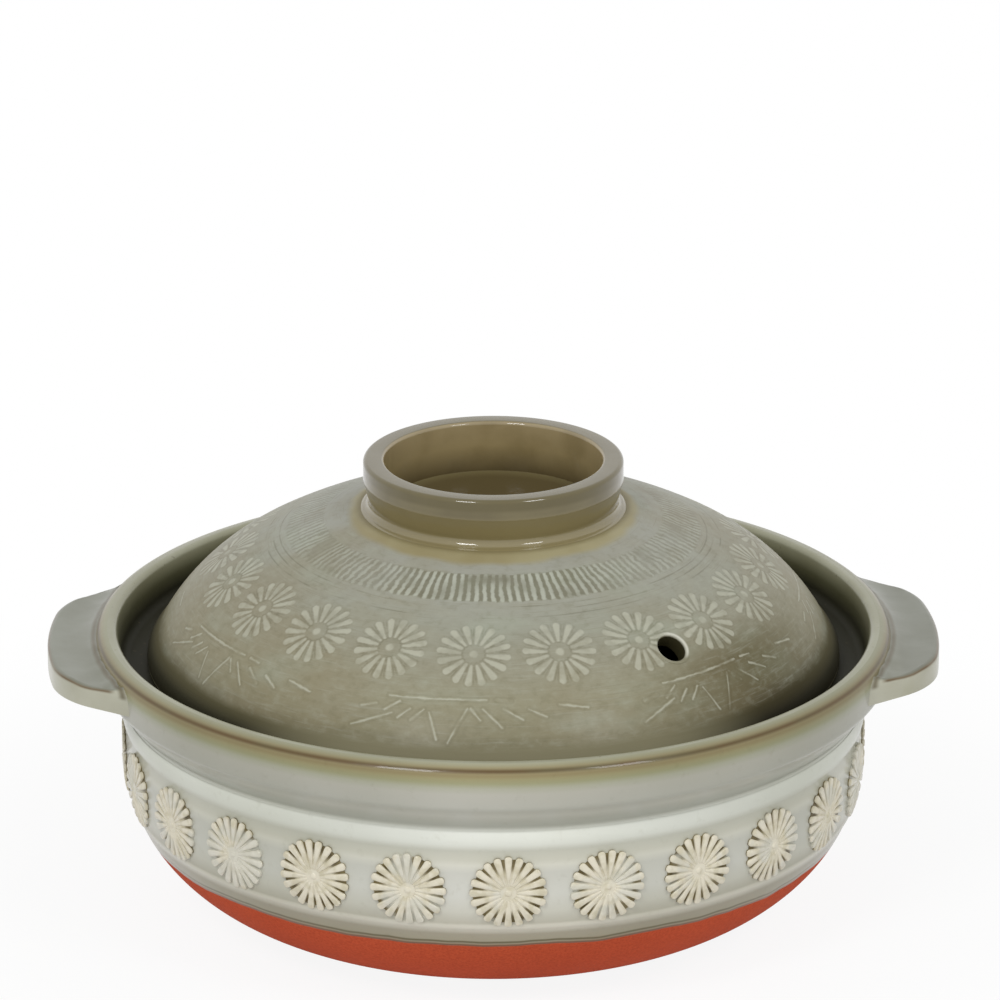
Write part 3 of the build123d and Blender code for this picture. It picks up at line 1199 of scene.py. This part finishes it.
@dataclass
class Bowl:
    """The pot's body, turned in one."""

    foot_inner: float = 49.0
    foot_outer: float = 60.0
    foot_hollow: float = 1.2
    belly_radius: float = 116.9
    belly_z: float = 48.0
    bead_foot_z: float = 60.4
    bead_radius: float = 117.8
    bead_fullness: float = 0.8
    waist: Point = (116.7, 68.0)
    collar_foot: Point = (125.0, 77.4)
    rim_radius: float = 126.0
    rim_z: float = 91.2
    rim_inner: float = 119.0
    rim_rise: float = 0.5
    gallery_radius: float = 117.5
    ledge_z: float = 79.0
    nose_radius: float = 102.0
    nose_foot_z: float = 74.0
    inner_radius: float = 109.9
    cove_z: float = 64.0
    floor_z: float = 7.5
    trim_line_z: float = 35.4
    trim_line_height: float = 0.45
    trim_line_half: float = 1.3
    segments: int = 240

    def wall_at(self, height: float) -> float:
        """Radius of the outer wall at a height between the foot and the bead."""
        drop = min(0.0, height - self.belly_z) / self.belly_z
        return self.foot_outer + (self.belly_radius - self.foot_outer) * sqrt(1 - drop**2)

    def outer_wall(self) -> list[Point]:
        """The wall from the foot ring up to the belly, with the turned line on it.

        Returns:
            The wall's points, from below.
        """
        reach = self.belly_radius - self.foot_outer
        wall: list[Point] = []
        for radius, height in arc_points((self.foot_outer, self.belly_z), (reach, self.belly_z), -90, 0, 64):
            offset = abs(height - self.trim_line_z)
            swell = self.trim_line_height * max(0.0, 1 - (offset / self.trim_line_half) ** 2)
            wall.append((radius + swell, height - swell * 0.3))
        return wall

    def template(self) -> list[Point]:
        """The half section, from the underside's centre round to the floor's centre.

        Returns:
            The section's points.
        """
        shares = (0, 0.25, 0.5, 0.75, 0.95)
        dish = [(self.foot_inner * share, self.foot_hollow * (1 - share**2)) for share in shares]
        foot = rounded([(*dish[-1], 0), (self.foot_inner, 0, 0.8), (self.foot_outer, 0, 0)], 3)
        bead_mid = (self.bead_foot_z + self.waist[1]) / 2
        swell, rise, steps = self.bead_radius - self.belly_radius, self.waist[1] - self.bead_foot_z, 10
        bead = [
            (
                self.belly_radius + swell * sin(pi * k / steps) ** self.bead_fullness,
                self.bead_foot_z + rise * k / steps,
            )
            for k in range(steps)
        ]
        collar = rounded(
            [
                (self.belly_radius + 0.25, bead_mid + 2.9, 0),
                (*self.waist, 1.6),
                (*self.collar_foot, 3.0),
                (self.rim_radius, self.rim_z, 4.0),
                (self.rim_inner, self.rim_z + self.rim_rise, 2.0),
                (self.gallery_radius, self.ledge_z, 2.8),
                (self.nose_radius, self.ledge_z, 2.2),
                (self.nose_radius, self.nose_foot_z, 0),
            ],
            7,
        )
        drop = self.nose_foot_z - self.cove_z
        step = self.inner_radius - self.nose_radius
        cove_radius = (step**2 + drop**2) / (2 * step)
        centre = (self.inner_radius - cove_radius, self.cove_z)
        end = asin(drop / cove_radius) * 180 / pi
        cove = arc_points(centre, (cove_radius, cove_radius), end, 0, 8)
        inner = arc_points(
            (self.foot_outer, self.belly_z),
            (self.inner_radius - self.foot_outer, self.belly_z - self.floor_z),
            0,
            -90,
            20,
        )
        floor = [(40.0, self.floor_z), (20.0, self.floor_z), (0.0, self.floor_z)]
        return joined(dish, foot, self.outer_wall(), bead, collar, cove, inner, floor)

    def build(self) -> bpy.types.Object:
        """Turn the bowl and glaze it outside and inside.

        Returns:
            The finished piece.
        """
        piece = Bench.turned("bowl_body", self.template(), self.segments)
        Bench.dress(piece, WallGlaze(self.trim_line_z).material(), "pot", "pot_glaze")
        piece.data.materials.append(InnerGlaze().material())
        middle = (self.rim_radius + self.rim_inner) / 2 - 1.0

        def within(centre: Vector, normal: Vector) -> bool:
            """Whether a face belongs to the inside.

            Args:
                centre: The face's centre.
                normal: Its normal.

            Returns:
                Whether it does.
            """
            radius = hypot(centre.x, centre.y)
            outward = normal.x * centre.x + normal.y * centre.y
            if centre.z > self.collar_foot[1] + 8:
                return radius < middle
            if radius < self.foot_outer:
                return centre.z > self.foot_hollow + 2
            return outward < 0 or centre.z > self.nose_foot_z and radius < self.gallery_radius + 1.6

        Bench.pick(piece, within)
        piece.active_material_index = 1
        bpy.ops.object.material_slot_assign()
        bpy.ops.object.mode_set(mode="OBJECT")
        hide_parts("pot_bowl")
        return piece


@dataclass
class Ear:
    """A flat ear, luted to the collar."""

    side: int
    reach: float = 140.9
    top_z: float = 87.2
    thickness: float = 7.2
    root: Point = (112.1, 52.1)
    tip: Point = (141.4, 32.0)
    corner: float = 29.5
    buried_radius: float = 121.5
    dish: float = 0.45
    cove_height: float = 1.3
    top_round: float = 1.6
    foot_round: float = 3.0
    cove_reach: float = 4.2
    cove_radius: float = 126.6
    dish_span: Point = (131.0, 134.5)
    dish_reach: float = 4.0

    def outline(self) -> list[Point]:
        """Half of the free outline, from the front root to the middle of the tip.

        Returns:
            The outline's points.
        """
        root = Vector(self.root)
        run = (Vector(self.tip) - root).normalized()
        inward = Vector((run.y, -run.x))
        start = root + inward * self.corner
        square = start.length_squared - (self.reach - self.corner) ** 2
        along = -start.dot(run) + sqrt(start.dot(run) ** 2 - square)
        centre = start + run * along
        first = centre - inward * self.corner
        last = centre * (self.reach / centre.length)
        spoke_a, spoke_b = first - centre, last - centre
        turn = atan2(spoke_a.x * spoke_b.y - spoke_a.y * spoke_b.x, spoke_a.dot(spoke_b))
        bend = [centre + Matrix.Rotation(turn * k / 12, 2) @ spoke_a for k in range(13)]
        azimuth = atan2(last.y, last.x)
        tip = [Vector((cos(azimuth * k / 8), sin(azimuth * k / 8))) * self.reach for k in range(7, -1, -1)]
        side = [root.lerp(first, k / 5) for k in range(5)]
        return [tuple(p) for p in side + bend + tip]

    def build(self) -> bpy.types.Object:
        """Cut the ear's slab, round its edges and dish its upper face.

        Returns:
            The finished piece.
        """
        half = self.outline()
        free = [(x, y) for x, y in half] + [(x, -y) for x, y in reversed(half[:-1])]
        end = atan2(free[-1][1], free[-1][0])
        back = [
            (self.buried_radius * cos(end * (1 - k / 8)), self.buried_radius * sin(end * (1 - k / 8)))
            for k in range(1, 16)
        ]
        path = [(self.side * x, y, self.top_z) for x, y in free + back]
        name = "ear_left" if self.side < 0 else "ear_right"
        piece = Bench.drawn(name, path)
        bpy.ops.mesh.select_all(action="SELECT")
        bpy.ops.mesh.edge_face_add()
        bpy.ops.mesh.extrude_region_move(TRANSFORM_OT_translate={"value": (0, 0, -self.thickness * MM)})
        Bench.sound()
        self.round_edges(piece)
        self.soften_top(piece)
        Bench.dress(piece, EarGlaze().material(), "pot", "ear_glaze")
        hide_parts(f"ear_handle_{name[4:]}")
        return piece

    def round_edges(self, piece: bpy.types.Object) -> None:
        """Round the free edges above and below, and leave the buried root square.

        Args:
            piece: The ear.
        """
        for low, high, size in ((0.0, 0.1, self.foot_round), (0.9, 1.1, self.top_round)):

            def free(first: Vector, last: Vector) -> bool:
                """Whether an edge is free of the collar and lies in the chosen part of the ear's height.

                Args:
                    first: Place of one end.
                    last: Place of the other.

                Returns:
                    Whether it is both.
                """
                shares = [(end.z - self.top_z) / self.thickness + 1 for end in (first, last)]
                clear = min(hypot(end.x, end.y) for end in (first, last)) > self.buried_radius + 0.5
                return clear and all(low <= share <= high for share in shares)

            Bench.pick_edges(piece, free)
            bpy.ops.mesh.bevel(offset=size * MM, segments=5, profile=0.5, affect="EDGES", clamp_overlap=True)
            bpy.ops.object.mode_set(mode="OBJECT")

    def soften_top(self, piece: bpy.types.Object) -> None:
        """Net the upper face, sink its middle a little and draw its root up against the collar.

        Args:
            piece: The ear.
        """
        cuts = [(Vector((self.side * (120.0 + 1.5 * k), 0, 0)), Vector((1, 0, 0))) for k in range(12)]
        cuts += [(Vector((0, -44.0 + 4.0 * k, 0)), Vector((0, 1, 0))) for k in range(23)]
        for place, normal in cuts:
            Bench.pick(piece, lambda centre, facing: facing.z > 0.99)
            bpy.ops.mesh.bisect(plane_co=place * MM, plane_no=normal)
            bpy.ops.object.mode_set(mode="OBJECT")

        def tug(rise: float, reach: float, shape: str, test: Callable[[float], bool]) -> None:
            """Move the chosen part of the upper face along Z, and its surroundings with it.

            Args:
                rise: How far up.
                reach: How far about it the pull is felt.
                shape: How the pull falls off.
                test: Takes a distance from the pot's axis.
            """
            level = (self.top_z - 0.05) * MM
            Bench.choose(piece, "VERT", lambda vertex: vertex.co.z > level and test(vertex.co.xy.length / MM))
            bpy.ops.transform.translate(
                value=(0, 0, rise * MM),
                use_proportional_edit=True,
                use_proportional_connected=True,
                proportional_edit_falloff=shape,
                proportional_size=reach * MM,
            )
            bpy.ops.object.mode_set(mode="OBJECT")

        inner, outer = self.dish_span
        tug(self.cove_height, self.cove_reach, "SHARP", lambda radius: radius < self.cove_radius)
        tug(-self.dish, self.dish_reach, "SMOOTH", lambda radius: inner < radius < outer)
        Bench.take(piece)
        bpy.ops.object.shade_smooth_by_angle(angle=radians(60))


@dataclass
class Rosette:
    """A stamped flower in relief, laid on the wall."""

    wall: Callable[[float], float]
    centre_z: float = 47.3
    radius: float = 11.8
    root: float = 2.4
    petals: int = 20
    petal_share: float = 0.68
    stamp_turn: float = 7.0
    count: int = 24
    proud: float = 0.85
    pad: float = 0.1
    root_fill: float = 0.95
    tip_round: float = 0.42
    crown_inset: float = 0.22
    crown_rises: Point = (0.16, 0.1)
    pad_steps: tuple[Point, ...] = ((0.6, 0.0), (2.6, 0.22), (2.2, 0.32), (2.2, 0.26))
    boss_radius: float = 1.5
    boss_depth: float = 0.85
    covers: tuple[GlazeCover, ...] = (
        GlazeCover.THIN,
        GlazeCover.EVEN,
        GlazeCover.THIN,
        GlazeCover.EVEN,
        GlazeCover.EVEN,
        GlazeCover.THICK,
        GlazeCover.THIN,
        GlazeCover.EVEN,
    )

    @staticmethod
    def crown(steps: Iterable[Point]) -> None:
        """Crown the chosen faces in steps, each an inset and a rise towards -Y.

        Args:
            steps: Each step's inset and rise.
        """
        for inset, rise in steps:
            bpy.ops.mesh.inset(thickness=inset * MM, depth=0)
            bpy.ops.transform.translate(value=(0, -rise * MM, 0))

    def petal(self) -> bpy.types.Object:
        """One petal with a round tip, pointing up in the XZ plane and proud towards -Y.

        Returns:
            The petal.
        """
        Bench.clear()
        length = self.radius - self.root
        bpy.ops.mesh.primitive_cube_add(size=MM, location=(0, 0, (self.root + length / 2) * MM))
        petal = bpy.context.object
        Bench.settle()
        Bench.edit()
        bpy.ops.transform.resize(value=(1, 2 * self.proud, length))
        wide = tau * self.radius / self.petals * self.petal_share
        narrow = tau * self.root / self.petals * self.root_fill
        for facing, width in ((1, wide), (-1, narrow)):
            Bench.pick(petal, lambda centre, normal: normal.z * facing > 0.9)
            bpy.ops.transform.resize(value=(width, 1, 1))
            bpy.ops.object.mode_set(mode="OBJECT")
        tip_z = self.radius - 0.1
        Bench.pick_edges(petal, lambda first, last: min(first.z, last.z) > tip_z and first.x == last.x)
        bpy.ops.mesh.bevel(
            offset=wide * self.tip_round * MM, segments=4, profile=0.5, affect="EDGES", clamp_overlap=True
        )
        bpy.ops.object.mode_set(mode="OBJECT")
        Bench.pick(petal, lambda centre, normal: normal.y < -0.9)
        self.crown([(narrow * self.crown_inset, rise) for rise in self.crown_rises])
        bpy.ops.object.mode_set(mode="OBJECT")
        return petal

    def pattern(self) -> bpy.types.Object:
        """The whole flower, flat in the XZ plane: petals, pad and centre boss.

        Returns:
            The flower.
        """
        flower = self.petal()
        flower.name = flower.data.name = "rosette_pattern"
        Bench.edit()
        bpy.ops.mesh.spin(steps=self.petals, angle=tau, dupli=True, center=(0, 0, 0), axis=(0, 1, 0))
        bpy.ops.mesh.remove_doubles(threshold=MERGE_GAP)
        bpy.ops.object.mode_set(mode="OBJECT")
        Bench.clear()
        bpy.ops.mesh.primitive_cylinder_add(
            vertices=60, radius=(self.radius - 0.9) * MM, depth=2 * self.pad * MM, rotation=(pi / 2, 0, 0)
        )
        pad = bpy.context.object
        Bench.settle()
        Bench.pick(pad, lambda centre, normal: normal.y < -0.9)
        self.crown(self.pad_steps)
        bpy.ops.object.mode_set(mode="OBJECT")
        Bench.clear()
        bpy.ops.mesh.primitive_uv_sphere_add(
            segments=18, ring_count=10, radius=self.boss_radius * MM, rotation=(pi / 2, 0, 0)
        )
        boss = bpy.context.object
        Bench.settle()
        Bench.edit()
        bpy.ops.transform.resize(value=(1, self.boss_depth, 1))
        Bench.clear()
        for part in (pad, boss, flower):
            part.select_set(True)
        bpy.context.view_layer.objects.active = flower
        bpy.ops.object.join()
        Bench.edit()
        Bench.sound()
        return flower

    def lay(self, flower: bpy.types.Object) -> None:
        """Wrap the flat flower round the wall at the front, at its own height over the curve.

        Args:
            flower: The flower, flat in the XZ plane.
        """
        middle = self.wall(self.centre_z)
        for vertex in flower.data.vertices:
            across, proud, up = vertex.co.x / MM, -vertex.co.y / MM, vertex.co.z / MM
            height = self.centre_z + up
            reach = self.wall(height) + proud
            turn = across / middle
            vertex.co = Vector((reach * sin(turn), -reach * cos(turn), height)) * MM
        flower.data.update()

    def build(self) -> list[bpy.types.Object]:
        """Stamp the flowers round the wall.

        Returns:
            The finished flowers.
        """
        flower = self.pattern()
        facts = (self.centre_z, self.count, self.wall)
        finishes = {cover: RosetteGlaze(cover, *facts).material() for cover in GlazeCover}
        made = []
        for index in range(self.count):
            piece = Bench.copy(flower, f"band_rosette_{index + 1:02d}")
            Bench.turn(piece, self.stamp_turn * index % (360 / self.petals), 0)
            self.lay(piece)
            Bench.turn(piece, 0, 360 / self.count * index)
            Bench.dress(piece, finishes[self.covers[index % len(self.covers)]], "pot", "pot_glaze")
            made.append(piece)
        bpy.data.objects.remove(flower)
        return made


# The lid


@dataclass
class Lid:
    """The domed lid, turned in one, with its steam hole."""

    dome: Dome
    hole: SteamHole
    land: Point = (42.5, 129.71)
    skirt_radius: float = 109.5
    skirt_foot_z: float = 79.3
    skirt_roll_z: float = 81.5
    seat_inner: float = 103.5
    inner_edge: float = 101.5
    crown_z: float = 120.21
    recess_z: float = 126.71
    recess_floor: float = 19.3
    recess_radius: float = 33.3
    segments: int = 240
    hole_segments: int = 48
    roll_pull: float = 0.42

    def template(self) -> list[Point]:
        """The half section, from the crown's underside round to the recess's floor.

        Returns:
            The section's points.
        """
        dome = self.dome
        flat = sqrt((dome.crown_radius - dome.wall) ** 2 - (self.crown_z - dome.crown_z) ** 2)
        crown = [(0.0, self.crown_z), (20.0, self.crown_z), (flat - 5, self.crown_z)]
        steps = 28
        inner = [
            (radius, dome.height(radius, dome.wall))
            for radius in (flat + 2 + (self.inner_edge - flat - 2) * k / steps for k in range(steps + 1))
        ]
        foot = rounded(
            [
                (self.inner_edge, dome.height(self.inner_edge, dome.wall), 0),
                (self.seat_inner, self.skirt_foot_z, 0.7),
                (self.skirt_radius, self.skirt_foot_z, 1.5),
                (self.skirt_radius, self.skirt_roll_z, 0),
            ],
            5,
        )
        start = Vector((self.skirt_radius, self.skirt_roll_z))
        end = Vector(dome.edge)
        slope = Vector(dome.outward(end.x))
        tangent = Vector((slope.y, -slope.x))
        pull = (end - start).length * self.roll_pull
        handles = (start, start + Vector((0, pull)), end + tangent * pull, end)
        roll = []
        for k in range(1, 10):
            t = k / 10
            weights = ((1 - t) ** 3, 3 * t * (1 - t) ** 2, 3 * t**2 * (1 - t), t**3)
            point = sum((w * h for w, h in zip(weights, handles)), Vector((0, 0)))
            roll.append(tuple(point))
        steps = 44
        top = [
            (radius, dome.height(radius))
            for radius in (end.x + (self.land[0] - end.x) * k / steps for k in range(steps + 1))
        ]
        cove, rise = self.recess_radius - self.recess_floor, self.land[1] - self.recess_z
        bend = (cove**2 + rise**2) / (2 * rise)
        recess = [
            (self.recess_floor + cove * share, self.recess_z + bend - sqrt(bend**2 - (cove * share) ** 2))
            for share in (1.0, 0.9, 0.8, 0.65, 0.5, 0.3, 0.1)
        ]
        recess += [(10.0, self.recess_z), (0.0, self.recess_z)]
        return joined(crown, inner, foot, roll, top, recess)

    def hole_frame(self) -> Matrix:
        """Place of the steam hole: its origin on the dome, its Z axis out along the normal."""
        facing = self.hole.axis.to_track_quat("Z", "Y").to_matrix().to_4x4()
        return Matrix.Translation(self.hole.centre * MM) @ facing

    def bore(self, piece: bpy.types.Object) -> None:
        """Bore the steam hole, wide enough for its glazed lip.

        Args:
            piece: The lid's shell.
        """
        Bench.clear()
        bpy.ops.mesh.primitive_cylinder_add(
            vertices=self.hole_segments, radius=self.hole.mouth * MM, depth=24 * MM
        )
        drill = bpy.context.object
        drill.matrix_world = self.hole_frame()
        Bench.apply(piece, "BOOLEAN", operation="DIFFERENCE", object=drill, solver="EXACT")
        bpy.data.objects.remove(drill)

    def hole_lining(self) -> bpy.types.Object:
        """The glazed lip that lines the steam hole, rounded at both mouths.

        Returns:
            The lip.
        """
        outer, inner = self.hole.mouth + 0.35, self.hole.radius
        top = -(self.hole.mouth**2) / (2 * self.dome.crown_radius)
        roll = self.hole.lip * 0.9
        section = [
            (outer, top - 1.2),
            (outer, top - 0.03),
            (outer - 0.3, top + 0.05),
            *arc_points((inner + roll, top - roll + 0.1), (roll, roll), 90, 180, 8),
            *arc_points((inner + roll, top - self.dome.wall + roll), (roll, roll), 180, 270, 8),
            (outer, top - self.dome.wall + 0.02),
            (outer, top - self.dome.wall + 1.2),
            (outer, top - 1.2),
        ]
        piece = Bench.turned("steam_hole_lip", section, self.hole_segments)
        piece.matrix_world = self.hole_frame()
        Bench.settle()
        return piece

    def build(self) -> list[bpy.types.Object]:
        """Turn the dome, bore it and line the hole.

        Returns:
            The dome and the lip.
        """
        piece = Bench.turned("lid_shell", self.template(), self.segments)
        self.bore(piece)
        Bench.take(piece)
        bpy.ops.object.shade_smooth_by_angle(angle=radians(50))
        glaze = LidGlaze(self.dome, self.hole).material()
        Bench.dress(piece, glaze, "lid", "lid_glaze")
        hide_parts("lid_dome")
        lip = self.hole_lining()
        Bench.dress(lip, glaze, "lid", "lid_glaze")
        return [piece, lip]


@dataclass
class Knob:
    """The hollow ring knob, luted to the crown."""

    dome: Dome
    foot_radius: float = 41.0
    neck_radius: float = 39.2
    cove_top_z: float = 132.2
    radius: float = 40.9
    lip_foot_z: float = 139.31
    top_z: float = 145.91
    mouth_radius: float = 34.3
    bore_foot: Point = (33.3, 129.5)
    segments: int = 160

    def template(self) -> list[Point]:
        """The ring's closed section, from its seam on the dome round and back.

        Returns:
            The section's points.
        """
        foot_z = self.dome.height(self.foot_radius)
        reach, rise = self.foot_radius - self.neck_radius, self.cove_top_z - foot_z
        cove = arc_points((self.foot_radius, self.cove_top_z), (reach, rise), -92, -176, 12)
        lead = [(self.foot_radius + 0.6, foot_z - 0.35)]
        ring = rounded(
            [
                (self.neck_radius, self.cove_top_z - 0.3, 0),
                (self.neck_radius, self.cove_top_z + 0.3, 1.2),
                (self.radius, self.lip_foot_z, 3.0),
                (self.radius, self.top_z, 1.3),
                (self.mouth_radius, self.top_z, 1.2),
                (*self.bore_foot, 0),
            ],
            8,
        )
        seam = [(36.0, 128.8), (43.5, 128.7), lead[0]]
        return joined(lead, cove, ring, seam)

    def build(self) -> bpy.types.Object:
        """Turn the ring.

        Returns:
            The finished piece.
        """
        piece = Bench.turned("knob_ring", self.template(), self.segments)
        Bench.dress(piece, KnobGlaze().material(), "lid", "knob_glaze")
        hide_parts("lid_knob_ring")
        return piece


# The studio


@dataclass(frozen=True)
class Softbox:
    """A square lamp that faces the pot, set by angles in degrees, metres and watts."""

    name: str
    azimuth: float
    power: float
    elevation: float = 42.0
    away: float = 2.4
    size: float = 0.6


@dataclass
class Studio:
    """Plain pale floor, soft light and the camera at the photograph's angle."""

    aim_base: Vector = field(default_factory=lambda: Vector((0, 0, 0.090)))
    azimuth: float = -2.2
    elevation: float = 20.75
    distance: float = 2.2
    focal: float = 250.3
    aim_up: float = 0.0392
    aim_right: float = 0.0021
    world_level: float = 0.6
    floor_glow: float = 0.9
    lamps: tuple[Softbox, ...] = (Softbox("softbox_left", -29.6, 16.0), Softbox("softbox_right", 39.0, 11.2))

    @staticmethod
    def direction(azimuth: float, elevation: float) -> Vector:
        """The way out from the pot at an angle from the front, towards +X, and one above the floor."""
        a, e = radians(azimuth), radians(elevation)
        return Vector((sin(a) * cos(e), -cos(a) * cos(e), sin(e)))

    @staticmethod
    def face(item: bpy.types.Object, target: Vector) -> None:
        """Turn a camera or lamp towards a point."""
        item.rotation_euler = (target - item.location).to_track_quat("-Z", "Y").to_euler()

    def camera(self) -> None:
        """Set up the camera and make it the scene's own."""
        back = self.direction(self.azimuth, self.elevation)
        right = Vector((0, 0, 1)).cross(back).normalized()
        up = back.cross(right)
        Bench.clear()
        bpy.ops.object.camera_add(location=self.aim_base + back * self.distance)
        camera = bpy.context.object
        camera.name = "camera"
        self.face(camera, self.aim_base + up * self.aim_up + right * self.aim_right)
        camera.data.lens = self.focal
        camera.data.sensor_width = 36
        camera.data.clip_start, camera.data.clip_end = 0.05, 50
        bpy.context.scene.camera = camera

    def lamp(self, box: Softbox) -> None:
        """Hang a lamp.

        Args:
            box: The lamp's settings.
        """
        Bench.clear()
        place = self.direction(box.azimuth, box.elevation) * box.away + self.aim_base
        bpy.ops.object.light_add(type="AREA", location=place)
        lamp = bpy.context.object
        lamp.name = box.name
        lamp.data.shape = "SQUARE"
        lamp.data.size = box.size
        lamp.data.energy = box.power
        self.face(lamp, self.aim_base)

    def world(self) -> None:
        """White to the eye and in reflections, and a plain soft level on the object."""
        world = bpy.data.worlds.new("studio")
        bpy.context.scene.world = world
        world.use_nodes = True
        shading = Shading(world.node_tree)
        back = world.node_tree.nodes["Background"]
        back.inputs["Color"].default_value = (1, 1, 1, 1)
        shading.plug(back.inputs["Strength"], self.world_level + shading.seen() * (1.0 - self.world_level))

    def floor(self) -> None:
        """A wide pale floor that keeps the pot's shadow."""
        Bench.clear()
        bpy.ops.mesh.primitive_plane_add(size=12, location=(0, 0, 0))
        floor = bpy.context.object
        floor.name = "floor"
        paint = Paint("floor_paper")
        white = paint.node("ShaderNodeEmission", None, {"Color": (1, 1, 1, 1), "Strength": 1.0})
        paper = paint.finish(Base_Color=srgb(240, 240, 240), Roughness=0.9, Specular_IOR_Level=0.0)
        x, y, _ = paint.place()
        away = (x * x + y * y).root().step(140.0, 300.0)
        glow = self.floor_glow + away * (1.0 - self.floor_glow)
        shaders = {1: paint.shader.outputs[0], 2: white.outputs[0]}
        mixed = paint.node("ShaderNodeMixShader", None, {0: paint.seen() * glow} | shaders)
        paint.plug(paint.tree.nodes["Material Output"].inputs["Surface"], mixed.outputs[0])
        floor.data.materials.append(paper)

    def build(self) -> None:
        """Set up the whole studio."""
        self.camera()
        self.world()
        self.floor()
        for box in self.lamps:
            self.lamp(box)
        log.info("studio ready")


def main() -> None:
    """Build the pot, the lid and the studio."""
    logging.basicConfig(level=logging.INFO, format="%(name)s: %(message)s")
    bowl = Bowl()
    bowl.build()
    for side in (-1, 1):
        Ear(side).build()
    Rosette(bowl.wall_at).build()
    dome = Dome()
    Lid(dome, SteamHole(dome)).build()
    Knob(dome).build()
    Studio().build()
    Bench.clear()
    bpy.context.scene.view_settings.view_transform = "Standard"


if __name__ == "__main__":
    main()
